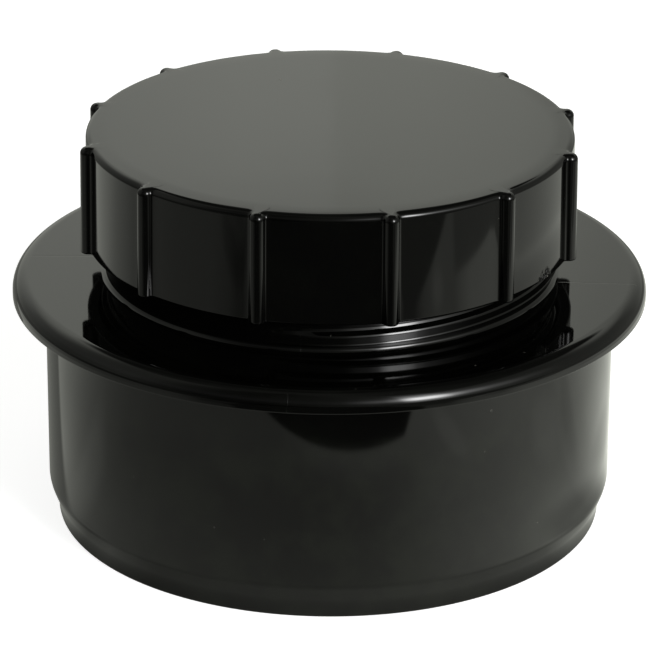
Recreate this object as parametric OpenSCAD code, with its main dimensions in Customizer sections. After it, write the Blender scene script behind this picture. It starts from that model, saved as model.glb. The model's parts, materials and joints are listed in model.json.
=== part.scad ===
// Access cap for a drain pipe: a flanged plug whose neck is closed by a ribbed screw cap on a flat seal.
// The plug's spigot goes down into a pipe socket. The origin is the centre of the spigot's bottom rim,
// +Z is up along the common axis and -Y is the front. Sizes are in millimetres, angles in degrees.

/* [Spigot] */
// Outside diameter of the spigot
spigot_d = 110; // [100:1:160]
// Thickness of the spigot's wall
spigot_wall = 3.2; // [2.6:0.1:5]
// Length of the spigot from its bottom rim to the flange
spigot_l = 44.9; // [30:0.1:80]
// Height of the narrow lip at the bottom rim
lip_h = 2.3; // [1:0.1:5]
// Height of the lead-in taper above the lip
lead_in_h = 4.7; // [2:0.1:10]
// How far the lead-in taper narrows the spigot on each side
lead_in_depth = 1.8; // [0.5:0.1:2]
// Radius inside, where the spigot's bore meets the flange plate
bore_fillet_r = 2; // [0.5:0.1:4]

/* [Flange] */
// How far the flange stands out past the spigot
flange_reach = 6.3; // [4:0.1:15]
// Thickness of the flange
flange_t = 4.1; // [3.6:0.1:8]
// Radius of the flange's top outer edge
flange_top_r = 3.2; // [0.5:0.1:3.3]
// Radius of the flange's bottom outer edge
flange_under_r = 0.3; // [0.1:0.1:0.8]

/* [Neck] */
// Diameter of the neck between its thread's ridges
neck_d = 86; // [76:1:92]
// Thickness of the neck's wall
neck_wall = 3; // [2:0.1:5]
// Radius of the fillet where the neck meets the flange
neck_fillet_r = 1.2; // [0.4:0.1:1.2]
// Width of the bevel on the outer corner of the neck's rim
neck_bevel = 0.8; // [0.2:0.1:1.2]

/* [Thread] */
// Rise of the thread in one turn
thread_pitch = 5; // [4.6:0.1:6]
// Height of the thread's ridge above the neck
thread_depth = 1.2; // [0.8:0.1:1.4]
// Width of the ridge at its root
thread_root_w = 2.7; // [2.4:0.1:2.8]
// Width of the ridge at its crest
thread_crest_w = 1.3; // [0.6:0.1:1.4]
// Running clearance of the thread, on the radius and at each flank
thread_clearance = 0.3; // [0.2:0.05:0.4]
// Height of the ridge's centre above the flange at its lower end
thread_lift = 2.6; // [2.6:0.1:4]
// Plain height left between the thread and the neck's rim
thread_land = 4.4; // [3.6:0.1:6]
// Angle of the thread's lower end, from the front towards +X
thread_start = -18; // [-180:1:180]
// Angle over which each end of a ridge fades out
thread_fade = 24; // [12:1:60]
// Turns of thread inside the cap
cap_turns = 1.5; // [1:0.1:1.8]

/* [Cap] */
// Height of the cap
cap_h = 21.4; // [19:0.1:26]
// Gap between the flange and the bottom of the cap's skirt
cap_gap = 7.2; // [5:0.1:10]
// Thickness of the cap's top
cap_top_t = 3; // [2:0.1:4]
// Thickness of the skirt's wall just under the cap's top
cap_wall = 2.2; // [1.8:0.1:4]
// Radius of the cap's top edge
cap_edge_r = 1.2; // [0.4:0.1:1.6]
// Lean of the skirt and its ribs, wider towards the bottom
cap_draft = 0.6; // [0.2:0.1:1.5]
// Width of the bevel at the skirt's mouth
cap_bevel = 0.5; // [0.2:0.1:0.8]
// Height of the lower end of the cap's thread above the skirt's bottom
cap_thread_lift = 2.6; // [2.2:0.1:4]

/* [Grip ribs] */
// Number of ribs around the skirt
rib_count = 12; // [6:1:24]
// Radius of each round rib
rib_r = 1.5; // [1:0.1:2]
// How far a rib stands out of the skirt
rib_proud = 1.8; // [1.2:0.1:2]
// Angle of the first rib, from the front towards +X
rib_phase = 13.8; // [0:0.1:60]

/* [Seal] */
// Thickness of the flat seal between the neck's rim and the cap
seal_t = 2.4; // [1.5:0.1:3.5]
// Width of the flat seal
seal_w = 4; // [3:0.1:6]
// Gap between the seal and the inside of the cap
seal_play = 0.3; // [0.2:0.1:0.5]

/* [Hidden] */
$fn = 120;

spigot_r = spigot_d / 2;
spigot_bore_r = spigot_r - spigot_wall;
lip_r = spigot_r - lead_in_depth;
flange_r = spigot_r + flange_reach;
flange_top = spigot_l + flange_t;
neck_r = neck_d / 2;
neck_bore_r = neck_r - neck_wall;

// The cap, the seal and the neck's rim stack down from the cap's top.
cap_bottom = flange_top + cap_gap;
cap_top = cap_bottom + cap_h;
cap_underside = cap_top - cap_top_t;
neck_rim = cap_underside - seal_t;
cap_bore_r = neck_r + thread_depth + thread_clearance;
cap_top_r = cap_bore_r + cap_wall;
seal_r = cap_bore_r - seal_play;

// The ridges reach this far into the wall that carries them.
thread_root_depth = 0.6;
// A faded end keeps this share of the ridge's height.
thread_end_share = 0.08;
// Each step of a ridge turns by this angle.
thread_step = 6;
// How much a ridge widens for each millimetre of depth.
flank_slope = (thread_root_w - thread_crest_w) / thread_depth;
plastic = [0.1, 0.1, 0.1];
rubber = [0.2, 0.2, 0.2];

// A quarter of a disc in the first quadrant, for a rounded corner.
module corner_2d(r) {
  intersection() {
    circle(r);
    square(r);
  }
}

// The filling of an inner corner at the origin, rounded away from it.
module fillet_2d(r) {
  difference() {
    square(r);
    translate([r, r]) circle(r);
  }
}

// A bar whose outer corners are rounded, from radius r0 to r1 and from height z0 up by h.
module rounded_bar_2d(r0, r1, z0, h, top_r, under_r) {
  translate([r0, z0 + under_r]) square([r1 - top_r - r0, h - under_r]);
  translate([r0, z0]) square([r1 - under_r - r0, h - top_r]);
  translate([r0, z0 + under_r]) square([r1 - r0, h - top_r - under_r]);
  translate([r1 - top_r, z0 + h - top_r]) corner_2d(top_r);
  translate([r1 - under_r, z0 + under_r]) mirror([0, 1]) corner_2d(under_r);
}

// Half-width of the neck's ridge at a height above the neck's surface.
function ridge_half_w(depth) = (thread_root_w - flank_slope * depth) / 2;

// Half-width of the cap's ridge, which fills the neck's groove but for the clearance at each flank.
function groove_half_w(depth) = thread_pitch / 2 - ridge_half_w(depth) - thread_clearance;

// Share of its full height that a ridge has at angle a of its whole sweep.
function fade(a, sweep) =
  let (t = min(a, sweep - a) / thread_fade)
  t >= 1 ? 1 : thread_end_share + (1 - thread_end_share) * sin(90 * t);

// A ridge swept along a helix, from height z0 and angle a0, rising one pitch a turn. The section runs
// from radius root_r, inside the wall, to radius crest_r; face_r is the wall's own surface.
module helical_ridge(a0, z0, sweep, root_r, face_r, crest_r, root_half_w, crest_half_w) {
  steps = ceil(sweep / thread_step);
  section = [[root_r, -root_half_w], [crest_r, -crest_half_w], [crest_r, crest_half_w], [root_r, root_half_w]];
  sides = len(section);
  points = [
    for (i = [0:steps], p = section)
      let (
        turned = sweep * i / steps,
        a = a0 + turned,
        share = fade(turned, sweep),
        r = p[0] == root_r ? root_r : face_r + (crest_r - face_r) * share
      )
      [r * sin(a), -r * cos(a), z0 + p[1] + thread_pitch * turned / 360]
  ];
  outward = crest_r > root_r;
  function facing(f) = outward ? f : [for (i = [len(f) - 1:-1:0]) f[i]];
  walls = [
    for (i = [0:steps - 1], k = [0:sides - 1])
      let (
        a = i * sides + k,
        b = i * sides + (k + 1) % sides,
        c = b + sides,
        d = a + sides
      )
      each [facing([a, b, c]), facing([a, c, d])]
  ];
  last = steps * sides;
  ends = [facing([2, 1, 0]), facing([3, 2, 0]), facing([last, last + 1, last + 2]), facing([last, last + 2, last + 3])];
  polyhedron(points, concat(walls, ends), convexity = 10);
}

module body_section() {
  // Spigot with its lip and lead-in taper
  polygon([
    [spigot_bore_r, 0], [lip_r, 0], [lip_r, lip_h], [spigot_r, lip_h + lead_in_h],
    [spigot_r, flange_top - flange_t / 2], [spigot_bore_r, flange_top - flange_t / 2]
  ]);
  rounded_bar_2d(neck_bore_r, flange_r, spigot_l, flange_t, flange_top_r, flange_under_r);
  translate([spigot_bore_r, spigot_l]) rotate(180) fillet_2d(bore_fillet_r);
  // Neck with its bevelled rim
  polygon([
    [neck_bore_r, flange_top - flange_t / 2], [neck_r, flange_top - flange_t / 2],
    [neck_r, neck_rim - neck_bevel], [neck_r - neck_bevel, neck_rim], [neck_bore_r, neck_rim]
  ]);
  translate([neck_r, flange_top]) fillet_2d(neck_fillet_r);
}

// Spigot, flange and threaded neck, moulded in one piece and open right through
module access_body() {
  neck_h = neck_rim - flange_top;
  sweep = 360 * (neck_h - thread_lift - thread_land) / thread_pitch;
  color(plastic) union() {
    rotate_extrude() body_section();
    helical_ridge(
      thread_start, flange_top + thread_lift, sweep,
      neck_r - thread_root_depth, neck_r, neck_r + thread_depth,
      ridge_half_w(-thread_root_depth), ridge_half_w(thread_depth)
    );
  }
}

// Flat rubber washer trapped in the cap above its thread
module seal_ring() {
  color(rubber) rotate_extrude()
    translate([seal_r - seal_w, neck_rim]) square([seal_w, seal_t]);
}

// Centre of the rounded top edge, and where the leaning skirt leaves it
edge_centre = [cap_top_r - cap_edge_r, cap_top - cap_edge_r];
edge_end = edge_centre + cap_edge_r * [cos(cap_draft), sin(cap_draft)];
cap_bottom_r = edge_end[0] + (edge_end[1] - cap_bottom) * tan(cap_draft);

module cap_section() {
  difference() {
    union() {
      polygon([
        [0, cap_bottom], [cap_bottom_r, cap_bottom], edge_end, edge_centre,
        [edge_centre[0], cap_top], [0, cap_top]
      ]);
      translate(edge_centre) circle(cap_edge_r);
    }
    translate([-1, cap_bottom - 1]) square([cap_bore_r + 1, cap_underside - cap_bottom + 1]);
    polygon([
      [cap_bore_r - 1, cap_bottom - 1], [cap_bore_r + cap_bevel + 1, cap_bottom - 1],
      [cap_bore_r - 1, cap_bottom + cap_bevel + 1]
    ]);
  }
}

// Round-ended rod at the origin, whose foot reaches below the skirt to be trimmed level
module rib_rod(length) {
  rotate_extrude() union() {
    square([rib_r, length]);
    translate([0, length]) corner_2d(rib_r);
  }
}

module grip_ribs() {
  foot = 1;
  length = cap_h - rib_r + foot;
  top_centre_r = cap_top_r + rib_proud - rib_r;
  difference() {
    for (i = [0:rib_count - 1])
      rotate(rib_phase + 360 * i / rib_count)
        translate([0, -top_centre_r, cap_top - rib_r])
          rotate([-cap_draft, 0, 0])
            translate([0, 0, -length]) rib_rod(length);
    translate([0, 0, cap_bottom - 2 * foot]) cylinder(r = cap_bottom_r + 3 * rib_proud, h = 2 * foot);
  }
}

// Flat-topped cap with a ribbed skirt and a thread inside, moulded in one piece
module screw_cap() {
  lift = cap_gap + cap_thread_lift;
  start = thread_start + 360 * (lift - thread_lift - thread_pitch / 2) / thread_pitch;
  color(plastic) union() {
    rotate_extrude() cap_section();
    grip_ribs();
    helical_ridge(
      start, flange_top + lift, 360 * cap_turns,
      cap_bore_r + thread_root_depth, cap_bore_r, neck_r + thread_clearance,
      groove_half_w(thread_depth + thread_clearance + thread_root_depth), groove_half_w(thread_clearance)
    );
  }
}

access_body();
seal_ring();
screw_cap();
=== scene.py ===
"""Access cap for a drain pipe in glossy black plastic: a flanged body, a ribbed screw cap and its seal."""
import json
import math

import bmesh
import bpy
from mathutils import Matrix, Vector


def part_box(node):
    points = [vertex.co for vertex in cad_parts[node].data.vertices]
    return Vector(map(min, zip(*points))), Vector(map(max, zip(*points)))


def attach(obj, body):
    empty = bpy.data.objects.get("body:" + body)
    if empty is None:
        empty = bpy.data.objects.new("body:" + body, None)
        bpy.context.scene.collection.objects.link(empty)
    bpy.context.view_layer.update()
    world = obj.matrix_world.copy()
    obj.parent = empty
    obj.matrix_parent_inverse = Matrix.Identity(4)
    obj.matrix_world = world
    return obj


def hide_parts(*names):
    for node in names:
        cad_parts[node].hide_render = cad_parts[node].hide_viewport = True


bl_info = {
    "name": "Pipe access cap",
    "version": (1, 0, 0),
    "blender": (4, 5, 0),
    "location": "3D View > Sidebar > Access cap",
    "description": "Models a glossy black pipe access cap with its flanged body, screw cap and seal",
    "category": "Add Mesh",
}

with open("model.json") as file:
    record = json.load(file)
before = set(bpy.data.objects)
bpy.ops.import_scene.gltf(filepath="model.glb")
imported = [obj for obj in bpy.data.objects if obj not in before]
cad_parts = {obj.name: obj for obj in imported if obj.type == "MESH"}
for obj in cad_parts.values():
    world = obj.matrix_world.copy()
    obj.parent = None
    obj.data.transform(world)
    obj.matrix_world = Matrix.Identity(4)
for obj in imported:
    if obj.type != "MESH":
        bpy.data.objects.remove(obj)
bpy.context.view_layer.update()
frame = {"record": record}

MM = 0.001
FULL_TURN = 2 * math.pi
BODY_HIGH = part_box("access_body")[1]
CAP_LOW, CAP_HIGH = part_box("screw_cap")
SEAL_LOW, SEAL_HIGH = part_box("seal_ring")
SPIGOT_R_MM = next(m["dims"]["r_mm"] for m in frame["record"]["mounts"] if m["name"] == "spigot")

# Plain points stand this far from each rounded corner, so that the flats beside it stay flat when shaded.
HOLD = 0.15 * MM
# Two heights or radii closer than this are the same row of a spun shape.
NEAR = 0.01 * MM
# Vertices closer than this are merged.
MERGE = 0.001 * MM
# An outline's upright edge this near a wall's radius belongs to that wall.
WALL_REACH = 0.5 * MM
# Turn in which a thread's ridge rises to its full height at one end and sinks again at the other.
THREAD_FADE = math.radians(24)

# Specks that lie on the body and on the cap: x, y, z and radius in mm, and share of the dust's colour.
BODY_SPECKS = (
    (-36.3, -41.3, 23.1, 0.20, 0.15), (-21.0, -50.8, 17.3, 0.22, 0.15), (-11.7, -53.7, 16.3, 0.20, 0.08),
    (30.0, -46.1, 39.2, 0.30, 0.18), (28.9, -46.8, 31.2, 0.20, 0.12), (39.5, -38.3, 12.7, 0.22, 0.23),
    (26.8, -47.9, 49.0, 0.24, 0.35), (36.0, -41.7, 49.0, 0.28, 0.15), (38.0, -35.6, 49.0, 0.22, 0.10),
    (4.9, -58.7, 49.0, 0.24, 0.08), (8.3, -57.3, 49.0, 0.18, 0.08), (0.3, -43.9, 53.1, 0.35, 0.60),
    # The three specks below are pale dots on the neck's parting line, in the dust's colour.
    (-5.3, -43.3, 49.7, 0.42, 1.00), (-5.4, -43.9, 52.1, 0.28, 0.75), (-5.4, -43.9, 53.5, 0.30, 0.10),
    (-7.4, -60.8, 47.7, 0.30, 0.22))
CAP_SPECKS = (
    (31.7, -34.4, 71.8, 0.26, 1.00), (31.0, -35.1, 72.8, 0.18, 0.15), (-9.9, 27.5, 77.6, 0.32, 1.00),
    (-26.8, 3.5, 77.6, 0.18, 0.20), (41.1, -23.0, 56.5, 0.34, 1.00), (41.2, -22.8, 57.1, 0.26, 1.00),
    (39.3, -25.9, 56.8, 0.24, 1.00))
# Thin lines that the flow of the plastic left on the flange: x from, x to, y in the middle (mm) and slope.
FLOW_LINES = ((43.5, 60.5, -7.4, -0.045), (-60.0, -43.5, 4.9, 0.01))
# Their half width and the flange's top as (outside, inside), and the length over which an end fades, in mm.
FLOW_WIDTH = (0.14, 0.03)
FLOW_HEIGHT = (48.5, 48.9)
FLOW_FADE = 2
# Turn of the mould's parting line from the front towards +X, in degrees, and its limits as (outside, inside)
# in mm: half its width, the neck's face, and its lower and upper end.
PARTING_TURN = -7.0
PARTING_WIDTH = (0.15, 0.02)
PARTING_FACE = (-42.6, -42.9)
PARTING_LOW = (44.8, 45.4)
PARTING_HIGH = (53.2, 52.4)
# It leaves out the flange's flat top, given by the radius of its middle and half its width in mm.
FLAT_MIDDLE = 51.5
FLAT_WIDTH = (6.7, 7.2)
# Ragged spot on the skirt's foot where the plastic was fed in: x, y, z and radius in mm.
GATE_SPOT = (40.4, -23.9, 56.0, 3.0)
# Heights in the bump, where the slow waves go from 0 to 1.
QUICK_BUMP = 0.05
SCRATCH_BUMP = -0.15
DUST_BUMP = 0.5
PARTING_BUMP = 6.0
FLOW_BUMP = -5.0
GATE_BUMP = 260.0
# What the patches, the grain and the scratches add to the roughness of the plastic, and that of the dust.
PATCH_ROUGHNESS = 0.03
GRAIN_ROUGHNESS = 0.02
SCRATCH_ROUGHNESS = 0.10
DUST_ROUGHNESS = 0.8
# Random specks on the plastic and on the rubber: spacing, radius and the share of cells that have one. Those
# on the plastic have only a share of the dust's colour.
MOTES = (3.0 * MM, 0.05 * MM, 0.10)
MOTE_COLOUR = 0.35
RUBBER_DUST = (3.0 * MM, 0.08 * MM, 0.25)
# The two sets of scratches: turn in radians and spacing. The scale stretches their cells into lines, and the
# width is (outside, inside) as shares of the spacing.
SCRATCHES = ((0.7, 14.0 * MM), (-0.9, 19.0 * MM))
SCRATCH_SCALE = (1.0, 0.04, 0.4)
SCRATCH_WIDTH = (0.05, 0.02)
# Roughness of the rubber and height of its grain.
RUBBER_ROUGHNESS = (0.55, 0.75)
RUBBER_RELIEF = 0.03 * MM
# The film of dust on the spigot is thin at the first height and full at the second, in mm.
FILM_HEIGHTS = (44, 30)
FILM_THIN = 0.15
# Scales of the noises, in waves to the metre.
GLOSS_PATCHES = 45.0
FINE_GRAIN = 2600.0
DUST_SMEARS = 110.0
SLOW_WAVES = 60.0
QUICK_WAVES = 420.0
FLOW_WOBBLE = 300.0
GATE_TEARS = 700.0
GATE_GRAIN = 1500.0
RUBBER_CLOUDS = 160.0
RUBBER_GRAIN = 3200.0
# Section of the neck's thread as (height from its centre, share of its full height): its top flank is eased.
THREAD_SECTION = tuple((height * MM, share) for height, share in (
    (-1.45, 0.0), (-1.35, 0.06), (-1.05, 0.94), (-0.95, 1.0), (-0.60, 0.885), (0.60, 0.87), (0.95, 0.755),
    (1.65, 0.17), (2.15, 0.0)))
# Section of the thread inside the cap, with equal flanks.
CAP_THREAD_SECTION = tuple((height * MM, share) for height, share in (
    (-1.75, 0.0), (-1.60, 0.06), (-1.10, 0.94), (-0.95, 1.0), (0.95, 1.0), (1.10, 0.94), (1.60, 0.06),
    (1.75, 0.0)))
# Light that comes from the room and the floor is very slightly yellow-green.
ROOM_TINT = (0.975, 1.0, 0.90, 1.0)
WHITE = (1.0, 1.0, 1.0, 1.0)


# The floor's part is painted light and shade, which the floor glows with for mirrored rays.
# The light that the gloss shows, mostly as (degrees from the front towards +X, grey).
# Near floor, up to its edge (radii in mm): bright on the right and behind, grey in front and on the left.
NEAR_EDGE = (148, 166)
NEAR_LEVEL = 1.25
NEAR_FLOOR_LIGHT = (
    (-180, 0.75), (-135, 0.68), (-110, 0.64), (-100, 0.59), (-90, 0.49), (-80, 0.38), (-70, 0.32),
    (-60, 0.31), (-40, 0.30), (-10, 0.29), (3, 0.31), (13, 0.36), (24, 0.47), (33, 0.62), (45, 0.74),
    (60, 0.83), (70, 0.80), (80, 0.69), (88, 0.76), (100, 0.88), (118, 0.92), (150, 0.88), (180, 0.75))
# Its share by radius in metres, with a ring of painted shade close to the foot.
NEAR_FADE = (
    (0.054, 1.0), (0.060, 0.80), (0.066, 1.0), (0.076, 0.976), (0.095, 0.824), (0.112, 0.768),
    (0.135, 0.80))
# Painted shade on the floor right at the object's foot, up to its edge, deepest in front on the left.
FOOT_EDGE = (57.5, 62)
FOOT_FLOOR_SHADE = (
    (-180, 0.60), (-84, 0.40), (-75, 0.13), (-65, 0.12), (-55, 0.24), (-40, 0.19), (-25, 0.27), (0, 0.38),
    (25, 0.44), (40, 0.40), (55, 0.36), (65, 0.51), (75, 0.66), (84, 0.90), (180, 0.90))
# Far floor: a bright sweep behind and on the right, dim on the left, unlit in front, dimmed past its edge.
FAR_EDGE = (245, 290)
FAR_REST = 0.3
FAR_LEVEL = 1.2
FAR_FLOOR_LIGHT = (
    (-180, 0.75), (-125, 0.64), (-115, 0.60), (-108, 0.50), (-98, 0.42), (-88, 0.30), (-78, 0.26),
    (-68, 0.245), (-50, 0.245), (-42, 0.19), (-37, 0.10), (-29, 0.09), (-26, 0.03), (8, 0.035),
    (20, 0.11), (35, 0.14), (39, 0.34), (45, 0.46), (53, 0.42), (57, 0.60), (61, 0.73), (100, 0.73),
    (180, 0.75))
# Its share by radius in metres inside the streak's edges, on the right at the back, and its share elsewhere.
FAR_STREAK = ((0.180, 0.68), (0.188, 0.78), (0.195, 0.97), (0.202, 0.82), (0.212, 0.78))
FAR_PLAIN = 0.84
# A soft straight edge is (x share, y share, outside, inside), in mm.
STREAK_EDGES = ((0, 1, -30, -10), (1, 0, 80, 120))
# Grey patches on the floor, as (grey, edges), and the unlit one in front, which covers the pools too.
FLOOR_PATCHES = (
    # The first patch is the object's painted shadow, behind it on the left.
    (0.24, ((0.83, 0.55, -60, -56.5), (0, 1, -30, -10), (1, 0, 10, -10))),
    (0.29, ((0.743, -0.669, 206, 209.5), (0.595, 0.804, -5, 5), (0.191, 0.982, 11, -11))),
    (0.125, ((0, 1, -157, -162), (1, 0, 95, 115))),
)
FRONT_SHEET = (
    0.033, ((-0.145, 1, -131.4, -133.4), (1, 0, -90, -84), (1, 0, 78, 72), (0.67, 1, -85.5, -88.5)))
# Soft pools of more or less light on the floor: centre, half sizes (mm), turn (degrees) and the light added.
POOLS = (
    (25, -142, 75, 36, 6, 0.14),
    (62, -12, 16, 28, 0, -0.38),
    (74, 26, 12, 26, 0, -0.18),
    (-88, -14, 42, 13, 0, 0.09),
    (92, 32, 26, 26, 0, 0.10),
    (112, -27, 24, 18, 0, 0.13),
    (84, -104, 9, 28, 0, 0.14),
    (115, -3, 42, 9, 5, -0.10),
    (145, -142, 17, 13, -40, 0.12),
    (-155, -172, 42, 16, 15, -0.06),
)
# A pool is full up to this share of its size.
POOL_CORE = 0.3
# Room: a bright wall behind, grey sides, a dark front and a dark ceiling. A height is the direction's z.
# The wall's low part goes over into its middle part between these two heights.
WALL_STEP = (0.42, 0.60)
LOW_WALL = (
    (-180, 0.825), (-178.5, 0.825), (-177.6, 0.80), (-176.4, 0.72), (-170, 0.70), (-150, 0.47),
    (-137, 0.30), (-120, 0.225), (-105, 0.18), (-75, 0.20), (-68, 0.15), (-60, 0.095), (-45, 0.035),
    (-22, 0.035), (-8, 0.065), (4, 0.11), (15, 0.15), (60, 0.28), (75, 0.25), (90, 0.235), (137, 0.23),
    (150, 0.34), (165, 0.52), (174, 0.60), (176, 0.62), (177.2, 0.76), (178.5, 0.81), (180, 0.825))
MIDDLE_WALL = (
    (-180, 0.90), (-165, 1.0), (-150, 0.85), (-135, 0.55), (-120, 0.29), (-105, 0.24), (-75, 0.215),
    (-60, 0.115), (-45, 0.06), (-30, 0.05), (-15, 0.08), (0, 0.11), (15, 0.16), (60, 0.25), (75, 0.21),
    (105, 0.20), (120, 0.30), (135, 0.72), (150, 0.85), (180, 0.90))
# Share that the low part of the wall loses behind, which begins between these two heights.
SHADE_STEP = (0.350, 0.364)
UPPER_SHADE = (
    (-180, 0.14), (-177.6, 0.15), (-176.2, 0.0), (176.2, 0.0), (177.6, 0.03), (178.8, 0.06), (180, 0.14))
# The ceiling's edge, as (degrees, height), and how far to both sides of it the wall and the ceiling blend.
LID_BLEND = 0.03
LID_HEIGHT = (
    (-180, 0.425), (-177.2, 0.43), (-175.8, 0.52), (-165, 0.58), (-150, 0.68), (-135, 0.76), (-120, 0.81),
    (-90, 0.86), (-60, 0.93), (-30, 0.97), (20, 0.90), (45, 0.72), (75, 0.76), (105, 0.76), (120, 0.70),
    (135, 0.66), (150, 0.58), (165, 0.56), (175.8, 0.52), (177.2, 0.43), (180, 0.425))
CEILING = (
    (-180, 0.07), (-150, 0.045), (-140, 0.04), (-120, 0.065), (-90, 0.09), (-60, 0.11), (0, 0.13),
    (35, 0.12), (60, 0.10), (90, 0.08), (120, 0.05), (150, 0.04), (180, 0.07))
# Share of the room that shows where it is mirrored a second time. At the sides that light is polarised away,
# which the renderer leaves out.
TWICE_LEVEL = 1.1
MIRRORED_TWICE = (
    (-180, 0.36), (-160, 0.14), (-140, 0.07), (-60, 0.14), (-30, 0.65), (0, 1.0), (30, 0.78), (60, 0.55),
    (80, 0.36), (100, 0.16), (125, 0.09), (138, 0.20), (150, 0.42), (165, 0.50), (180, 0.36))
# A soft lamp at the front right, by side and by height.
LAMP_SIDE = (
    (0, 0.003), (5, 0.005), (10, 0.017), (15, 0.035), (20, 0.05), (25, 0.14), (28, 0.60), (31, 0.95),
    (38, 0.90), (42, 0.60), (45, 0.26), (50, 0.11), (60, 0.045), (75, 0.012), (90, 0.0))
LAMP_HEIGHT = (
    (0.0, 0.0), (0.08, 0.08), (0.15, 0.16), (0.22, 0.35), (0.30, 0.85), (0.36, 1.0), (0.45, 0.95),
    (0.52, 0.50), (0.57, 0.28), (0.65, 0.14), (0.75, 0.025), (0.85, 0.0))


# Properties

def length(name, description, millimetres):
    """A property that holds a length, with its default given in millimetres."""
    return bpy.props.FloatProperty(
        name=name, description=description, default=millimetres * MM, min=0.0, unit="LENGTH", precision=5)


def angle(name, description, degrees):
    """A property that holds an angle, with its default given in degrees."""
    return bpy.props.FloatProperty(
        name=name, description=description, default=math.radians(degrees), subtype="ANGLE")


def amount(name, description, default, highest=100.0):
    """A property that holds a plain number."""
    return bpy.props.FloatProperty(
        name=name, description=description, default=default, min=0.0, max=highest)


def colour(name, description, default):
    """A property that holds a linear colour."""
    return bpy.props.FloatVectorProperty(
        name=name, description=description, default=default, subtype="COLOR", size=3, min=0.0, max=1.0)


class BodySizes(bpy.types.PropertyGroup):
    """Sizes of the flanged body."""
    spigot_radius: length("Spigot radius", "Outside radius of the spigot", SPIGOT_R_MM)
    spigot_wall: length("Spigot wall", "Thickness of the spigot's wall", 3.2)
    lip_depth: length("Lip depth", "How far the lip at the bottom rim lies inside the spigot", 1.8)
    lip_height: length("Lip height", "Height of the lip at the bottom rim", 2.3)
    taper_height: length("Taper height", "Height of the lead-in taper above the lip", 4.7)
    bore_fillet: length("Bore fillet", "Radius where the spigot's bore meets the flange plate", 2.0)
    flange_radius: length("Flange radius", "Outside radius of the flange", BODY_HIGH.x / MM)
    flange_bottom: length("Flange bottom", "Height of the flange's underside", 44.9)
    flange_thickness: length("Flange thickness", "Thickness of the flange", 4.1)
    flange_rounding: length("Flange rounding", "Radius of the flange's top outer edge", 3.2)
    neck_radius: length("Neck radius", "Radius of the neck between its thread's ridges", 43.0)
    neck_wall: length("Neck wall", "Thickness of the neck's wall", 3.0)
    neck_fillet: length("Neck fillet", "Radius where the neck meets the flange", 1.2)
    rim_bevel: length("Rim bevel", "Width of the bevel on the outer corner of the neck's rim", 0.8)
    thread_pitch: length("Thread pitch", "Rise of the thread in one turn", 5.0)
    thread_height: length("Thread height", "Height of the thread's ridge above the neck", 1.2)
    thread_bottom: length("Thread bottom", "Height above the flange at which the ridge's centre starts", 2.6)
    thread_land: length("Thread land", "Plain height between the thread and the neck's rim", 4.4)
    thread_start: angle("Thread start", "Angle of the thread's lower end, from the front towards +X", -18)


class CapSizes(bpy.types.PropertyGroup):
    """Sizes of the screw cap."""
    top_radius: length("Top radius", "Radius of the skirt just under the cap's top", 46.7)
    edge_rounding: length("Edge rounding", "Radius of the cap's top edge", 1.2)
    foot_rounding: length("Foot rounding", "Radius of the skirt's bottom edge", 0.35)
    bore_radius: length("Bore radius", "Radius inside the skirt", 44.5)
    mouth_bevel: length("Mouth bevel", "Width of the bevel at the skirt's mouth", 0.5)
    top_thickness: length("Top thickness", "Thickness of the cap's top", 3.0)
    crown: length("Crown", "How far the top falls away before its edge", 0.09)
    lean: angle("Lean", "Lean of the skirt and its ribs, wider towards the bottom", 0.6)
    ribs: bpy.props.IntProperty(
        name="Ribs", description="Number of ribs around the skirt", default=12, min=3, max=24)
    rib_radius: length("Rib radius", "Radius of each round rib", 1.5)
    rib_proud: length("Rib height", "How far a rib stands out of the skirt", 1.8)
    rib_fillet: length("Rib fillet", "Radius at the foot of each rib's sides", 0.5)
    rib_phase: angle("Rib phase", "Angle of the first rib, from the front towards +X", 13.8)
    thread_height: length("Thread height", "Height of the thread's ridge inside the skirt", 1.2)
    thread_bottom: length("Thread bottom", "Height of the ridge's centre at its start", 58.8)
    thread_start: angle("Thread start", "Angle of the thread's lower end, from the front towards +X", 320.4)
    thread_turns: amount("Thread turns", "Turns of thread inside the cap", 1.5)


class SealSizes(bpy.types.PropertyGroup):
    """Sizes of the flat seal."""
    outer_radius: length("Outer radius", "Outside radius of the seal", SEAL_HIGH.x / MM)
    width: length("Width", "Width of the seal's flat face", 4.0)
    rounding: length("Rounding", "Radius of the seal's edges", 0.25)


class Finishes(bpy.types.PropertyGroup):
    """Colours of the plastic, the rubber and the dust on them."""
    plastic: colour("Plastic", "Colour of the black plastic", (0.0010, 0.0010, 0.0009))
    plastic_grey: colour("Dusty plastic", "Colour of the plastic under the dust", (0.0047, 0.0056, 0.0036))
    gloss: amount("Gloss", "Roughness of the glossiest plastic", 0.03, highest=1.0)
    waviness: length("Waviness", "Height of the slow waves in the moulded faces", 0.004)
    rubber: colour("Rubber", "Colour of the seal", (0.020, 0.020, 0.020))
    dust: colour("Dust", "Colour of the dust specks", (0.32, 0.31, 0.28))


class Studio(bpy.types.PropertyGroup):
    """The camera, the lamp and the light of the room."""
    view_height: angle("View height", "Angle of the camera above the horizon", 22.9)
    view_distance: length("View distance", "Distance from the camera to its target", 784.1)
    view_roll: angle("View roll", "Roll of the camera", 0.35)
    lens: amount("Lens", "Focal length of the camera, in millimetres", 217.64, highest=1000.0)
    room: amount("Room light", "Strength of the room's light", 1.0)
    lamp: amount("Lamp light", "Strength of the soft lamp to the front right", 21.0)
    fill: amount("Fill power", "Power of the weak lamp above the front, in watts", 0.5)


# Spun shapes

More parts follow.
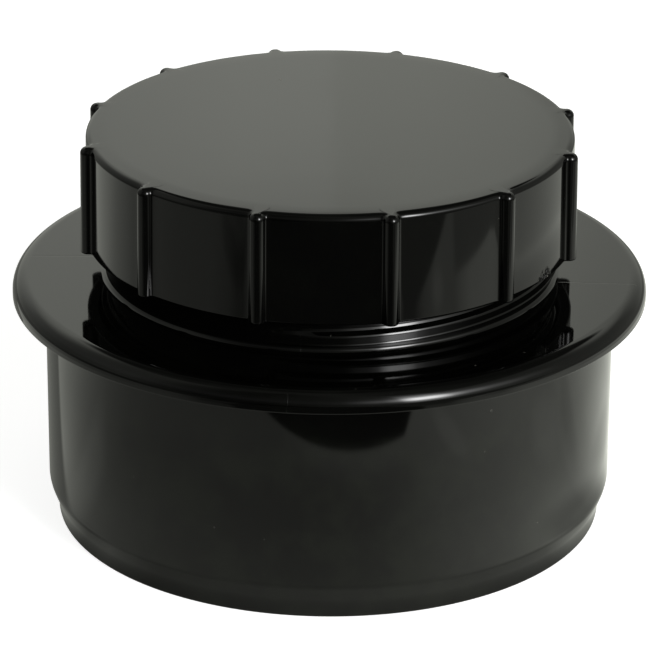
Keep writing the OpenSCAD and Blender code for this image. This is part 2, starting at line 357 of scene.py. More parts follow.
def outline(corners, closed):
    """A wire outline in the XZ plane from (radius, height, rounding, steps) corners.

    Each corner that has a rounding is bevelled into an arc, with a plain point on both sides of it."""
    count = len(corners)
    places = [Vector((r, 0.0, z)) for r, z, rounding, steps in corners]
    shape = bmesh.new()
    points = []
    rounded = []
    for i, (r, z, rounding, steps) in enumerate(corners):
        here = places[i]
        before, after = places[i - 1], places[(i + 1) % count]
        if not rounding:
            points.append(shape.verts.new(here))
            continue
        cut = rounding / math.tan((before - here).angle(after - here) / 2)
        points.append(shape.verts.new(here + (before - here).normalized() * (cut + HOLD)))
        points.append(shape.verts.new(here))
        rounded.append((points[-1], cut, steps))
        points.append(shape.verts.new(here + (after - here).normalized() * (cut + HOLD)))
    last = points[:1] if closed else []
    for a, b in zip(points, points[1:] + last):
        shape.edges.new((a, b))
    for point, cut, steps in rounded:
        bmesh.ops.bevel(
            shape, geom=[point], offset=cut, offset_type="OFFSET", segments=steps,
            profile=0.5, affect="VERTICES", material=-1)
    return shape


def add_rows(shape, radius, low, high, cuts):
    """Cuts the outline's upright edges near a radius and between two heights into rows."""
    middle = (low + high) / 2
    for edge in shape.edges[:]:
        a, b = edge.verts
        upright = abs(a.co.x - radius) < WALL_REACH and abs(b.co.x - radius) < WALL_REACH
        if upright and min(a.co.z, b.co.z) < middle < max(a.co.z, b.co.z):
            bmesh.ops.subdivide_edges(shape, edges=[edge], cuts=cuts)


def spin_round(shape, columns):
    """Spins the outline once round the Z axis and closes its seam and its poles."""
    bmesh.ops.spin(
        shape, geom=shape.verts[:] + shape.edges[:], cent=(0, 0, 0), axis=(0, 0, 1),
        angle=FULL_TURN, steps=columns, use_merge=True)
    bmesh.ops.remove_doubles(shape, verts=shape.verts[:], dist=MERGE)


def add_object(name, data):
    """An object that shows the data, linked to the scene."""
    thing = bpy.data.objects.new(name, data)
    bpy.context.scene.collection.objects.link(thing)
    return thing


def finish_piece(shape, name, material, body, node):
    """Makes the shape an object that rides on its body and stands for its CAD node."""
    bmesh.ops.recalc_face_normals(shape, faces=shape.faces[:])
    mesh = bpy.data.meshes.new(name)
    shape.to_mesh(mesh)
    shape.free()
    for face in mesh.polygons:
        face.use_smooth = True
    piece = add_object(name, mesh)
    piece.data.materials.append(material)
    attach(piece, body)
    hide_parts(node)


def smooth(x):
    """0 below 0, 1 above 1 and a soft step between."""
    x = min(max(x, 0.0), 1.0)
    return x * x * (3 - 2 * x)


def ridge_share(place, start, bottom, pitch, sweep, section, fade):
    """Share of its full height that a helical ridge has at a place on its wall.

    The section is (height from the ridge's centre, share of the full height) points, from the lowest up."""
    turned = (math.atan2(place.x, -place.y) - start) % FULL_TURN
    best = 0.0
    while turned < sweep:
        above = place.z - bottom - pitch * turned / FULL_TURN
        for (low, low_share), (high, high_share) in zip(section, section[1:]):
            if low <= above < high:
                share = low_share + (high_share - low_share) * (above - low) / (high - low)
                best = max(best, share * smooth(min(turned, sweep - turned) / fade))
        turned += FULL_TURN
    return best


def move_to_radius(vert, radius):
    """Moves a vertex straight in or out to a radius."""
    scale = radius / math.hypot(vert.co.x, vert.co.y)
    vert.co.x *= scale
    vert.co.y *= scale


# Material parts

def cleared_tree(owner):
    """The empty node tree of a material or a world."""
    owner.use_nodes = True
    owner.node_tree.nodes.clear()
    return owner.node_tree


def add_node(tree, kind, sockets=None, **settings):
    """Adds a node; sockets maps input names or numbers to values or to the output that feeds them."""
    node = tree.nodes.new(kind)
    for key, value in settings.items():
        setattr(node, key, value)
    for key, value in (sockets or {}).items():
        if isinstance(value, bpy.types.NodeSocket):
            tree.links.new(value, node.inputs[key])
        else:
            node.inputs[key].default_value = value
    return node


def calculate(tree, operation, a, b=None, c=None):
    """Output of a Math node."""
    inputs = {i: v for i, v in enumerate((a, b, c)) if v is not None}
    return add_node(tree, "ShaderNodeMath", inputs, operation=operation).outputs[0]


def times(tree, a, b):
    """Output of a Math node that multiplies."""
    return calculate(tree, "MULTIPLY", a, b)


def split(tree, vector):
    """The x, y and z outputs of a vector."""
    return add_node(tree, "ShaderNodeSeparateXYZ", {0: vector}).outputs


def turn_round(tree, x, y):
    """Turn round the axis from 0 to 1, with the front at 0.5 and the right at 0.75, as the ramps take it."""
    side = calculate(tree, "ARCTAN2", x, times(tree, y, -1.0))
    return calculate(tree, "MULTIPLY_ADD", side, 1 / FULL_TURN, 0.5)


def soft_step(tree, value, low, high, at_low=0.0, at_high=1.0):
    """Output that goes softly from one number to another as value goes from low to high."""
    sockets = {"Value": value, "From Min": low, "From Max": high, "To Min": at_low, "To Max": at_high}
    return add_node(tree, "ShaderNodeMapRange", sockets, interpolation_type="SMOOTHSTEP").outputs[0]


def soft_edge(tree, value, low, high, *levels):
    """A soft step whose low and high are in mm."""
    return soft_step(tree, value, low * MM, high * MM, *levels)


def blend_numbers(tree, share, a, b):
    """Output of a Mix node between two numbers."""
    return add_node(tree, "ShaderNodeMix", {0: share, 2: a, 3: b}, data_type="FLOAT").outputs[0]


def blend_colours(tree, share, a, b):
    """Output of a Mix node between two colours."""
    return add_node(tree, "ShaderNodeMix", {0: share, 6: a, 7: b}, data_type="RGBA").outputs[2]


def blend_shaders(tree, share, a, b):
    """A node that mixes the shaders of two nodes."""
    return add_node(tree, "ShaderNodeMixShader", {0: share, 1: a.outputs[0], 2: b.outputs[0]})


def noise(tree, place, scale, detail=2.0, roughness=0.5):
    """Fac output of a noise whose scale is in waves to the metre."""
    sockets = {"Vector": place, "Scale": scale, "Detail": detail, "Roughness": roughness}
    return add_node(tree, "ShaderNodeTexNoise", sockets).outputs["Fac"]


def ramp(tree, value, stops):
    """Grey output of a colour ramp through (position, grey) stops."""
    node = add_node(tree, "ShaderNodeValToRGB", {"Fac": value})
    elements = node.color_ramp.elements
    while len(elements) > 1:
        elements.remove(elements[-1])
    for i, (position, grey) in enumerate(stops):
        element = elements[0] if i == 0 else elements.new(position)
        element.position = position
        element.color = (grey, grey, grey, 1.0)
    return node.outputs["Color"]


def around(stops):
    """Ramp stops from (degrees from the front towards +X, grey) pairs."""
    return [(degrees / 360 + 0.5, grey) for degrees, grey in stops]


def opaque(colour_value):
    """A colour property with an alpha of 1."""
    return (*colour_value, 1.0)


def new_material(name):
    """A material with a place from Object coordinates and a Principled shader on its output."""
    material = bpy.data.materials.new(name)
    tree = cleared_tree(material)
    output = tree.nodes.new("ShaderNodeOutputMaterial")
    shader = tree.nodes.new("ShaderNodeBsdfPrincipled")
    tree.links.new(shader.outputs[0], output.inputs["Surface"])
    place = tree.nodes.new("ShaderNodeTexCoord").outputs["Object"]
    return material, tree, shader, place


def dust_specks(tree, place, spacing, radius, share):
    """Mask of small round specks, one in a share of the cells of that spacing."""
    cells = add_node(tree, "ShaderNodeTexVoronoi", {"Vector": place, "Scale": 1 / spacing})
    near = soft_step(tree, cells.outputs["Distance"], radius / spacing, 0.6 * radius / spacing)
    pick = add_node(tree, "ShaderNodeSeparateColor", {0: cells.outputs["Color"]}).outputs[0]
    chosen = calculate(tree, "LESS_THAN", pick, share)
    return times(tree, near, chosen)


def fine_scratches(tree, place, turn, spacing, share):
    """Mask of thin straight scratches that run one way, one in a share of the stretched cells."""
    turned = add_node(tree, "ShaderNodeMapping", {
        "Vector": place, "Rotation": (0.0, 0.0, turn), "Scale": SCRATCH_SCALE})
    cells = add_node(tree, "ShaderNodeTexVoronoi", {"Vector": turned.outputs[0], "Scale": 1 / spacing})
    line = soft_step(tree, cells.outputs["Distance"], *SCRATCH_WIDTH)
    pick = add_node(tree, "ShaderNodeSeparateColor", {0: cells.outputs["Color"]}).outputs[1]
    return times(tree, line, calculate(tree, "LESS_THAN", pick, share))


def round_spot(tree, place, spot, core, share=1.0):
    """Mask of a round spot of x, y, z and radius in mm, which is full up to that core of its radius."""
    x, y, z, radius = (value * MM for value in spot)
    away = add_node(tree, "ShaderNodeVectorMath", {0: place, 1: (x, y, z)}, operation="DISTANCE")
    return soft_step(tree, away.outputs["Value"], radius, core * radius, 0.0, share)


def placed_specks(tree, place, specks):
    """Mask of single round specks, each x, y, z and radius in mm and its share of the dust's colour."""
    mask = 0.0
    for *spot, share in specks:
        mask = calculate(tree, "MAXIMUM", round_spot(tree, place, spot, core=0.5, share=share), mask)
    return mask


def parting_line(tree, place):
    """Mask of the thin upright line that the mould's joint left on the neck and the flange's rim."""
    turned = add_node(
        tree, "ShaderNodeMapping", {"Vector": place, "Rotation": (0.0, 0.0, -math.radians(PARTING_TURN))})
    x, y, z = split(tree, turned.outputs[0])
    thin = soft_edge(tree, calculate(tree, "ABSOLUTE", x), *PARTING_WIDTH)
    outside = soft_edge(tree, y, *PARTING_FACE)
    above = soft_edge(tree, z, *PARTING_LOW)
    below = soft_edge(tree, z, *PARTING_HIGH)
    off_middle = calculate(tree, "ABSOLUTE", calculate(tree, "ADD", y, FLAT_MIDDLE * MM))
    off_flat = soft_edge(tree, off_middle, *FLAT_WIDTH)
    line = times(tree, thin, times(tree, outside, above))
    return times(tree, line, times(tree, below, off_flat))


def flow_lines(tree, place):
    """Mask of the thin lines on the flange's top."""
    x, y, z = split(tree, place)
    wobble = times(tree, noise(tree, place, FLOW_WOBBLE), 0.5 * MM)
    mask = 0.0
    for start, end, middle, slope in FLOW_LINES:
        centre = (start + end) / 2
        half = (end - start) / 2
        line = calculate(tree, "MULTIPLY_ADD", x, slope, (middle - slope * centre) * MM)
        off = calculate(tree, "SUBTRACT", calculate(tree, "ADD", y, wobble), line)
        thin = soft_edge(tree, calculate(tree, "ABSOLUTE", off), *FLOW_WIDTH)
        off_centre = calculate(tree, "ABSOLUTE", calculate(tree, "SUBTRACT", x, centre * MM))
        within = soft_edge(tree, off_centre, half, half - FLOW_FADE)
        mask = calculate(tree, "MAXIMUM", times(tree, thin, within), mask)
    return times(tree, mask, soft_edge(tree, z, *FLOW_HEIGHT))


def gate_spot(tree, place):
    """Ragged height, about -0.5 to 0.5, of the spot where the plastic was fed in."""
    near = round_spot(tree, place, GATE_SPOT, core=0.4)
    torn = soft_step(tree, noise(tree, place, GATE_TEARS), 0.44, 0.54)
    rough = calculate(tree, "SUBTRACT", noise(tree, place, GATE_GRAIN, detail=3.0, roughness=0.7), 0.5)
    return times(tree, times(tree, near, torn), rough)


def glossy_plastic(name, wave_shift, scratched, specks, height):
    """Glossy black moulded plastic: slow waves, fine grain in the gloss, sparse dust and light scratches.

    height is a function of the tree and the place that gives what the piece's marks add to the bump."""
    look = bpy.context.scene.access_cap_finishes
    material, tree, shader, place = new_material(name)
    shifted = add_node(tree, "ShaderNodeMapping", {"Vector": place, "Location": wave_shift}).outputs[0]
    patches = noise(tree, shifted, GLOSS_PATCHES, detail=3.0)
    grain = noise(tree, shifted, FINE_GRAIN)
    motes = times(tree, dust_specks(tree, shifted, *MOTES), MOTE_COLOUR)
    dust = calculate(tree, "MAXIMUM", placed_specks(tree, place, specks), motes)
    scratches, crossing = (
        fine_scratches(tree, shifted, turn, spacing, scratched) for turn, spacing in SCRATCHES)
    marks = calculate(tree, "MAXIMUM", scratches, crossing)

    # A thin uneven film of dust lies on the spigot, below the flange.
    up = split(tree, place)[2]
    smears = soft_step(tree, noise(tree, shifted, DUST_SMEARS, detail=4.0, roughness=0.6), 0.38, 0.68)
    film = times(tree, smears, soft_edge(tree, up, *FILM_HEIGHTS, FILM_THIN, 1.0))
    body_colour = blend_colours(tree, film, opaque(look.plastic), opaque(look.plastic_grey))
    tree.links.new(blend_colours(tree, dust, body_colour, opaque(look.dust)), shader.inputs["Base Color"])

    gloss = soft_step(tree, patches, 0.3, 0.75, look.gloss, look.gloss + PATCH_ROUGHNESS)
    grained = calculate(tree, "MULTIPLY_ADD", grain, GRAIN_ROUGHNESS, gloss)
    worn = calculate(tree, "MULTIPLY_ADD", marks, SCRATCH_ROUGHNESS, grained)
    tree.links.new(blend_numbers(tree, dust, worn, DUST_ROUGHNESS), shader.inputs["Roughness"])
    shader.inputs["IOR"].default_value = 1.5

    slow = noise(tree, shifted, SLOW_WAVES, detail=1.0)
    quick = noise(tree, shifted, QUICK_WAVES)
    waves = calculate(tree, "MULTIPLY_ADD", quick, QUICK_BUMP, slow)
    cut = calculate(tree, "MULTIPLY_ADD", marks, SCRATCH_BUMP, waves)
    dusty = calculate(tree, "MULTIPLY_ADD", dust, DUST_BUMP, cut)
    raised = calculate(tree, "ADD", dusty, height(tree, place))
    bump = add_node(tree, "ShaderNodeBump", {"Height": raised, "Strength": 1.0, "Distance": look.waviness})
    tree.links.new(bump.outputs[0], shader.inputs["Normal"])
    return material


def body_marks(tree, place):
    """Bump of the parting line, which stands out, and of the flow lines, which are sunk."""
    ridge = times(tree, parting_line(tree, place), PARTING_BUMP)
    return calculate(tree, "MULTIPLY_ADD", flow_lines(tree, place), FLOW_BUMP, ridge)


def cap_marks(tree, place):
    """Bump of the gate's ragged spot."""
    return times(tree, gate_spot(tree, place), GATE_BUMP)


def seal_rubber():
    """Matt black rubber with a fine grain and faint dust."""
    look = bpy.context.scene.access_cap_finishes
    material, tree, shader, place = new_material("seal_rubber")
    clouds = noise(tree, place, RUBBER_CLOUDS, detail=4.0)
    grain = noise(tree, place, RUBBER_GRAIN, detail=3.0)
    dust = dust_specks(tree, place, *RUBBER_DUST)
    paler = tuple(1.7 * c for c in look.rubber)
    rubber = blend_colours(tree, soft_step(tree, clouds, 0.3, 0.75), opaque(look.rubber), opaque(paler))
    tree.links.new(blend_colours(tree, dust, rubber, opaque(look.dust)), shader.inputs["Base Color"])
    tree.links.new(soft_step(tree, clouds, 0.3, 0.7, *RUBBER_ROUGHNESS), shader.inputs["Roughness"])
    bump = add_node(tree, "ShaderNodeBump", {"Height": grain, "Strength": 0.6, "Distance": RUBBER_RELIEF})
    tree.links.new(bump.outputs[0], shader.inputs["Normal"])
    return material


# Pieces

class ACCESSCAP_OT_body(bpy.types.Operator):
    """Model the spigot, the flange and the threaded neck as one moulding"""
    bl_idname = "access_cap.body"
    bl_label = "Flanged body"
    columns = 288
    # The neck has finer rows up to just above the cap's foot, where it shows.
    shown_top = CAP_LOW.z + 0.6 * MM
    shown_rows = 74
    covered_rows = 98
    # Roundings of the sharp edges and of the two bends in the spigot's lead-in.
    edge = 0.4 * MM
    foot_edge = 0.3 * MM
    flange_edge = 0.1 * MM
    rim_edge = 0.2 * MM
    lip_bend = 8.0 * MM
    taper_bend = 4.0 * MM

    def corners(self, size):
        """Corners of the body's section, from the bottom rim up the outside and down the inside."""
        spigot = size.spigot_radius
        bore = spigot - size.spigot_wall
        lip = spigot - size.lip_depth
        under = size.flange_bottom
        top = under + size.flange_thickness
        neck = size.neck_radius
        neck_bore = neck - size.neck_wall
        rim = BODY_HIGH.z
        lip_top = size.lip_height
        return [
            (bore, 0.0, self.foot_edge, 3),
            (lip, 0.0, self.edge, 3),
            (lip, lip_top, self.lip_bend, 5),
            (spigot, lip_top + size.taper_height, self.taper_bend, 4),
            (spigot, under, self.edge, 3),
            (size.flange_radius, under, self.flange_edge, 2),
            (size.flange_radius, top, size.flange_rounding, 16),
            (neck, top, size.neck_fillet, 7),
            (neck, self.shown_top, 0.0, 0),
            (neck, rim - size.rim_bevel, self.rim_edge, 2),
            (neck - size.rim_bevel, rim, self.rim_edge, 2),
            (neck_bore, rim, self.rim_edge, 2),
            (neck_bore, under, self.edge, 3),
            (bore, under, size.bore_fillet, 6),
        ]

    def execute(self, context):
        size = context.scene.access_cap_body
        top = size.flange_bottom + size.flange_thickness
        neck = size.neck_radius
        rim = BODY_HIGH.z
        shape = outline(self.corners(size), closed=True)
        add_rows(shape, neck, top + size.neck_fillet, self.shown_top, self.shown_rows)
        add_rows(shape, neck, self.shown_top, rim - size.rim_bevel, self.covered_rows)
        spin_round(shape, self.columns)
        sweep = FULL_TURN * (rim - top - size.thread_bottom - size.thread_land) / size.thread_pitch
        for vert in shape.verts:
            radius = math.hypot(vert.co.x, vert.co.y)
            if abs(radius - neck) > NEAR or not top < vert.co.z < rim:
                continue
            share = ridge_share(
                vert.co, size.thread_start, top + size.thread_bottom, size.thread_pitch, sweep,
                THREAD_SECTION, THREAD_FADE)
            if share > 0:
                move_to_radius(vert, neck + size.thread_height * share)
        plastic = glossy_plastic(
            "body_plastic", wave_shift=(0.0, 0.0, 0.0), scratched=0.10,
            specks=BODY_SPECKS, height=body_marks)
        finish_piece(shape, "flanged_body", plastic, "access_body", "access_body")
        return {"FINISHED"}


class ACCESSCAP_OT_screw_cap(bpy.types.Operator):
    """Model the flat-topped cap with its grip ribs and the thread inside it as one moulding"""
    bl_idname = "access_cap.screw_cap"
    bl_label = "Screw cap"
    rib_steps = 10
    fillet_steps = 4
    skirt_steps = 8
    # Power by which the skirt's columns widen away from a rib.
    skirt_widening = 1.2
    skirt_rows = 9
    bore_rows = 64
    # Height above the foot up to which the bore has the fine rows that its thread needs.
    threaded = 14.0 * MM
    # Radii of the rings on the flat top, of the ring where it begins to fall away with its share of the
    # crown, and of the ring on the top's underside.
    flat_rings = (0.0, 20.0 * MM, 42.0 * MM, 43.2 * MM)
    falling_ring = 44.6 * MM
    falling_share = 0.3
    under_ring = 30.0 * MM
    # Roundings of the mouth's bevel and of the corner between the skirt and the top, inside.
    mouth_edge = 0.12 * MM
    inner_edge = 0.6 * MM

    def wall_radius(self, size, height):
        """Radius of the leaning skirt's outer face at a height."""
        return size.top_radius + (CAP_HIGH.z - size.edge_rounding - height) * math.tan(size.lean)

    def corners(self, size):
        """Corners of the cap's section, from the axis over the top, down the skirt and up the inside."""
        top, foot = CAP_HIGH.z, CAP_LOW.z
        under = top - size.top_thickness
        bore = size.bore_radius
        return [
            *((ring, top, 0.0, 0) for ring in self.flat_rings),
            (self.falling_ring, top - self.falling_share * size.crown, 0.0, 0),
            (self.wall_radius(size, top), top - size.crown, size.edge_rounding, 10),
            (self.wall_radius(size, foot), foot, size.foot_rounding, 4),
            (bore + size.mouth_bevel, foot, self.mouth_edge, 2),
            (bore, foot + size.mouth_bevel, self.mouth_edge, 2),
            (bore, foot + self.threaded, 0.0, 0),
            (bore, under, self.inner_edge, 4),
            (self.under_ring, under, 0.0, 0),
            (0.0, under, 0.0, 0),
        ]

    def rib_section(self, size):
        """Half of a rib's section, from its crest, as (across, out, normal across, normal out)."""
        radius, fillet = size.rib_radius, size.rib_fillet
        centre = size.rib_proud - radius
        across = math.sqrt((radius + fillet) ** 2 - (fillet - centre) ** 2)
        meets = math.atan2(across, fillet - centre)
        section = []
        for i in range(self.rib_steps + 1):
            turned = meets * i / self.rib_steps
            normal = (math.sin(turned), math.cos(turned))
            section.append((radius * normal[0], centre + radius * normal[1], *normal))
        for i in range(1, self.fillet_steps + 1):
            turned = meets * (1 - i / self.fillet_steps)
            normal = (math.sin(turned), math.cos(turned))
            section.append((across - fillet * normal[0], fillet - fillet * normal[1], *normal))
        return section

    def columns(self, size):
        """Columns from one rib's crest to the next as (angle or None, section point or None)."""
        section = self.rib_section(size)
        half = math.pi / size.ribs
        start = math.atan2(section[-1][0], size.top_radius)
        plain = [
            start + (half - start) * (i / self.skirt_steps) ** self.skirt_widening
            for i in range(1, self.skirt_steps + 1)]
        ahead = [(None, point) for point in section] + [(turned, None) for turned in plain]
        mirrored = [
            (None if turned is None else -turned, point and (-point[0], point[1], -point[2], point[3]))
            for turned, point in reversed(ahead[1:-1])
        ]
        return ahead + mirrored

    def place_vert(self, vert, size, columns):
        """Puts a spun vertex in its column, and out on the rib where it lies on the outer face."""
        radius = math.hypot(vert.co.x, vert.co.y)
        if radius < NEAR:
            return
        count = size.ribs * len(columns)
        index = round(math.atan2(vert.co.y, vert.co.x) / FULL_TURN * count) % count
        rib, column = divmod(index, len(columns))
        turned, point = columns[column]
        if column > len(columns) // 2:
            rib += 1
        # The outer face follows the ribs, with its rounded edges and the plain points beside them.
        inset = self.wall_radius(size, vert.co.z) - radius
        on_rib = inset < size.edge_rounding + 1.5 * HOLD
        if point is not None:
            across, out, normal_across, normal_out = point
            if on_rib:
                across -= inset * normal_across
                radial = radius + inset + out - inset * normal_out
                radius = math.hypot(across, radial)
                turned = math.atan2(across, radial)
            else:
                turned = math.atan2(across, size.top_radius + out)
        towards = size.rib_phase + rib * FULL_TURN / size.ribs + turned
        vert.co.x = radius * math.sin(towards)
        vert.co.y = -radius * math.cos(towards)

    def execute(self, context):
        size = context.scene.access_cap_screw_cap
        body = context.scene.access_cap_body
        top, foot, bore = CAP_HIGH.z, CAP_LOW.z, size.bore_radius
        shape = outline(self.corners(size), closed=False)
        add_rows(shape, size.top_radius, foot, top, self.skirt_rows)
        add_rows(shape, bore, foot + size.mouth_bevel, foot + self.threaded, self.bore_rows)
        columns = self.columns(size)
        spin_round(shape, size.ribs * len(columns))
        for vert in shape.verts:
            self.place_vert(vert, size, columns)
        for vert in shape.verts:
            if abs(math.hypot(vert.co.x, vert.co.y) - bore) > NEAR:
                continue
            share = ridge_share(
                vert.co, size.thread_start, size.thread_bottom, body.thread_pitch,
                FULL_TURN * size.thread_turns, CAP_THREAD_SECTION, THREAD_FADE)
            if share > 0:
                move_to_radius(vert, bore - size.thread_height * share)
        plastic = glossy_plastic(
            "cap_plastic", wave_shift=(0.31, 0.17, 0.0), scratched=0.25,
            specks=CAP_SPECKS, height=cap_marks)
        finish_piece(shape, "screw_cap_ribbed", plastic, "screw_cap", "screw_cap")
        return {"FINISHED"}


class ACCESSCAP_OT_seal(bpy.types.Operator):
    """Model the flat rubber seal inside the cap"""
    bl_idname = "access_cap.seal"
    bl_label = "Seal"
    columns = 192

    def execute(self, context):
        size = context.scene.access_cap_seal
        outer = size.outer_radius
        inner = outer - size.width
        low, high = SEAL_LOW.z, SEAL_HIGH.z
        section = ((inner, low), (outer, low), (outer, high), (inner, high))
        shape = outline([(r, z, size.rounding, 3) for r, z in section], closed=True)
        spin_round(shape, self.columns)
        finish_piece(shape, "flat_seal", seal_rubber(), "seal_ring", "seal_ring")
        return {"FINISHED"}


# Stage

class ACCESSCAP_OT_stage(bpy.types.Operator):
    """Set up the pale floor, the soft box, the light of the room and the camera"""
    bl_idname = "access_cap.stage"
    bl_label = "Stage"
    floor_half = 1.6
    paper = (0.8, 0.8, 0.8, 1.0)
    paper_glow = 0.85
    target = Vector((0.65, 0.0, 35.13)) * MM

    @staticmethod
    def inside(tree, x, y, edges):
        """Mask of the floor inside soft straight edges, each (x share, y share, outside, inside) in mm."""
        mask = 1.0
        for share_x, share_y, outside, inside in edges:
            across = calculate(tree, "MULTIPLY_ADD", y, share_y, times(tree, x, share_x))
            mask = times(tree, soft_edge(tree, across, outside, inside), mask)
        return mask

    def floor(self):
        """A pale floor, white to the camera, that glows with painted light and shade for mirrored rays."""
        shape = bmesh.new()
        bmesh.ops.create_grid(shape, x_segments=1, y_segments=1, size=self.floor_half)
        mesh = bpy.data.meshes.new("floor")
        shape.to_mesh(mesh)
        shape.free()
        floor = add_object("floor", mesh)

        material = bpy.data.materials.new("floor_sheet")
        tree = cleared_tree(material)
        place = tree.nodes.new("ShaderNodeTexCoord").outputs["Object"]
        x, y, _ = split(tree, place)
        turn = turn_round(tree, x, y)
        radius = add_node(tree, "ShaderNodeVectorMath", {0: place}, operation="LENGTH").outputs["Value"]
        near = times(tree, ramp(tree, turn, around(NEAR_FLOOR_LIGHT)), NEAR_LEVEL)
        near = times(tree, near, ramp(tree, radius, NEAR_FADE))
        foot = ramp(tree, turn, around(FOOT_FLOOR_SHADE))
        near = blend_numbers(tree, soft_edge(tree, radius, *FOOT_EDGE), foot, near)
        far = times(tree, ramp(tree, turn, around(FAR_FLOOR_LIGHT)), FAR_LEVEL)
        streak = ramp(tree, radius, FAR_STREAK)
        at_streak = self.inside(tree, x, y, STREAK_EDGES)
        far = times(tree, far, blend_numbers(tree, at_streak, FAR_PLAIN, streak))
        far = times(tree, far, soft_edge(tree, radius, *FAR_EDGE, 1.0, FAR_REST))
        shown = blend_numbers(tree, soft_edge(tree, radius, *NEAR_EDGE), near, far)
        for grey, edges in FLOOR_PATCHES:
            shown = blend_numbers(tree, self.inside(tree, x, y, edges), shown, grey)
        for centre_x, centre_y, half_x, half_y, turned, extra in POOLS:
            near_pool = add_node(
                tree, "ShaderNodeMapping",
                {"Vector": place, "Location": (centre_x * MM, centre_y * MM, 0.0),
                 "Rotation": (0.0, 0.0, math.radians(turned)), "Scale": (half_x * MM, half_y * MM, 1.0)},
                vector_type="TEXTURE")
            reach = add_node(tree, "ShaderNodeVectorMath", {0: near_pool.outputs[0]}, operation="LENGTH")
            pool = soft_step(tree, reach.outputs["Value"], 1.0, POOL_CORE)
            shown = calculate(tree, "MULTIPLY_ADD", pool, extra, shown)
        grey, edges = FRONT_SHEET
        shown = blend_numbers(tree, self.inside(tree, x, y, edges), shown, grey)
        shown = calculate(tree, "MAXIMUM", shown, 0.0)

        rays = tree.nodes.new("ShaderNodeLightPath")
        paper = add_node(tree, "ShaderNodeBsdfDiffuse", {"Color": self.paper})
        glow = add_node(tree, "ShaderNodeEmission", {"Color": WHITE, "Strength": self.paper_glow})
        white = add_node(tree, "ShaderNodeAddShader", {0: paper.outputs[0], 1: glow.outputs[0]})
        # Mirrored rays see the floor glow with its painted light and shade.
        painted_gleam = add_node(tree, "ShaderNodeEmission", {"Color": ROOM_TINT, "Strength": shown})
        to_eye = blend_shaders(tree, rays.outputs["Is Camera Ray"], paper, white)
        seen = blend_shaders(tree, rays.outputs["Is Glossy Ray"], to_eye, painted_gleam)
        add_node(tree, "ShaderNodeOutputMaterial", {"Surface": seen.outputs[0]})
        mesh.materials.append(material)

    def room(self, studio):
        """White to the camera; round the object a white sweep behind, grey sides and a dim front."""
        world = bpy.data.worlds.new("room")
        bpy.context.scene.world = world
        tree = cleared_tree(world)
        direction = tree.nodes.new("ShaderNodeTexCoord").outputs["Generated"]
        x, y, z = split(tree, direction)
        turn = turn_round(tree, x, y)
        low, middle, lid, ceiling, twice, glow_side = (
            ramp(tree, turn, around(stops))
            for stops in (LOW_WALL, MIDDLE_WALL, LID_HEIGHT, CEILING, MIRRORED_TWICE, LAMP_SIDE))
        shade = times(tree, ramp(tree, turn, around(UPPER_SHADE)), soft_step(tree, z, *SHADE_STEP))
        low = times(tree, low, calculate(tree, "SUBTRACT", 1.0, shade))
        wall = blend_numbers(tree, soft_step(tree, z, *WALL_STEP), low, middle)
        over = soft_step(tree, calculate(tree, "SUBTRACT", z, lid), -LID_BLEND, LID_BLEND)
        wall = blend_numbers(tree, over, wall, ceiling)
        lamp = times(tree, glow_side, ramp(tree, z, LAMP_HEIGHT))
        rays = tree.nodes.new("ShaderNodeLightPath")
        # A glossy depth of 1 is a ray that one face has mirrored, and 2 or more one mirrored again.
        first = calculate(tree, "LESS_THAN", rays.outputs["Glossy Depth"], 1.5)
        share = blend_numbers(tree, first, times(tree, twice, TWICE_LEVEL), 1.0)
        shown = times(tree, wall, share)
        lamp = times(tree, lamp, share)
        walls = add_node(tree, "ShaderNodeBackground", {
            "Color": ROOM_TINT, "Strength": times(tree, shown, studio.room)})
        soft_box = add_node(tree, "ShaderNodeBackground", {
            "Color": WHITE, "Strength": times(tree, lamp, studio.lamp)})
        around_it = add_node(tree, "ShaderNodeAddShader", {0: walls.outputs[0], 1: soft_box.outputs[0]})
        white = add_node(tree, "ShaderNodeBackground", {"Color": WHITE, "Strength": 1.0})
        mixed = blend_shaders(tree, rays.outputs["Is Camera Ray"], around_it, white)
        add_node(tree, "ShaderNodeOutputWorld", {"Surface": mixed.outputs[0]})

    def fill_lamp(self, studio):
        """A weak lamp above, which keeps the object's shadow soft on the floor."""
        lamp = bpy.data.lights.new("fill_lamp", "AREA")
        lamp.size = 0.5
        lamp.energy = studio.fill
        holder = add_object("fill_lamp", lamp)
        holder.location = (0.0, -0.1, 1.3)
        holder.visible_camera = False
        holder.visible_glossy = False

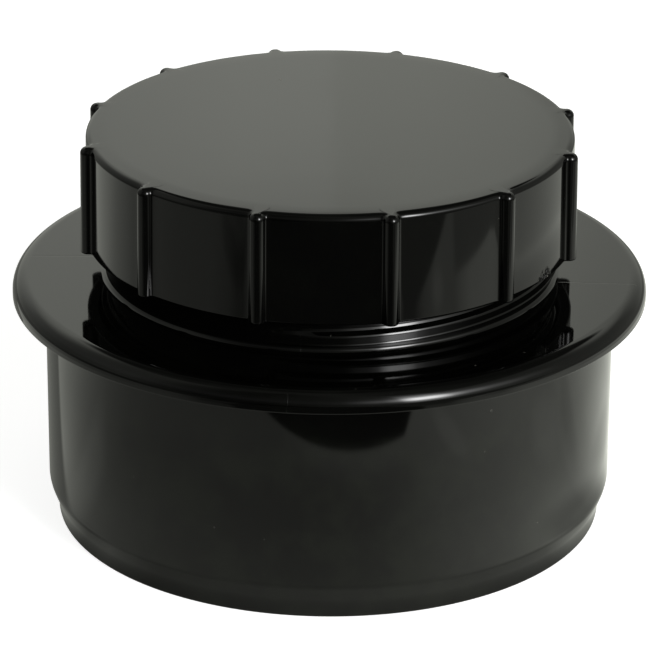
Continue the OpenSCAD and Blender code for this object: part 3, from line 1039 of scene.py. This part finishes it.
    def camera(self, studio):
        """The camera at the photograph's angle."""
        data = bpy.data.cameras.new("camera")
        data.lens = studio.lens
        data.sensor_width = 36.0
        data.clip_end = 20.0
        camera = add_object("camera", data)
        height, roll = studio.view_height, studio.view_roll
        back = Vector((0.0, -math.cos(height), math.sin(height)))
        right = Vector((1.0, 0.0, 0.0))
        up = back.cross(right)
        across = right * math.cos(roll) + up * math.sin(roll)
        upward = up * math.cos(roll) - right * math.sin(roll)
        turned = Matrix((across, upward, back)).transposed().to_4x4()
        camera.matrix_world = Matrix.Translation(self.target + studio.view_distance * back) @ turned
        bpy.context.scene.camera = camera

    def execute(self, context):
        studio = context.scene.access_cap_studio
        self.floor()
        self.room(studio)
        self.fill_lamp(studio)
        self.camera(studio)
        context.scene.view_settings.view_transform = "Standard"
        return {"FINISHED"}


# Add-on

# The steps of the model: title, name of the settings on the scene, their group, and the operator.
STEPS = (
    ("Flanged body", "access_cap_body", BodySizes, ACCESSCAP_OT_body),
    ("Screw cap", "access_cap_screw_cap", CapSizes, ACCESSCAP_OT_screw_cap),
    ("Seal", "access_cap_seal", SealSizes, ACCESSCAP_OT_seal),
    ("Finishes", "access_cap_finishes", Finishes, None),
    ("Stage", "access_cap_studio", Studio, ACCESSCAP_OT_stage),
)


class ACCESSCAP_PT_panel(bpy.types.Panel):
    """Panel that lists the steps of the model and its settings"""
    bl_idname = "ACCESSCAP_PT_panel"
    bl_label = "Access cap"
    bl_space_type = "VIEW_3D"
    bl_region_type = "UI"
    bl_category = "Access cap"

    def draw(self, context):
        for title, settings, group, operator in STEPS:
            box = self.layout.box()
            box.label(text=title)
            for key in group.__annotations__:
                box.prop(getattr(context.scene, settings), key)
            if operator:
                box.operator(operator.bl_idname)


CLASSES = (
    *(group for _, _, group, _ in STEPS), *(operator for *_, operator in STEPS if operator),
    ACCESSCAP_PT_panel)


def register():
    """Registers the classes and puts the settings on the scene."""
    for cls in CLASSES:
        bpy.utils.register_class(cls)
    for _, settings, group, _ in STEPS:
        setattr(bpy.types.Scene, settings, bpy.props.PointerProperty(type=group))


def unregister():
    """Takes the settings and the classes away again."""
    for _, settings, _, _ in STEPS:
        delattr(bpy.types.Scene, settings)
    for cls in reversed(CLASSES):
        bpy.utils.unregister_class(cls)


def main():
    """Builds the stage and the pieces."""
    register()
    bpy.ops.access_cap.stage()
    bpy.ops.access_cap.body()
    bpy.ops.access_cap.screw_cap()
    bpy.ops.access_cap.seal()


if __name__ == "__main__":
    main()
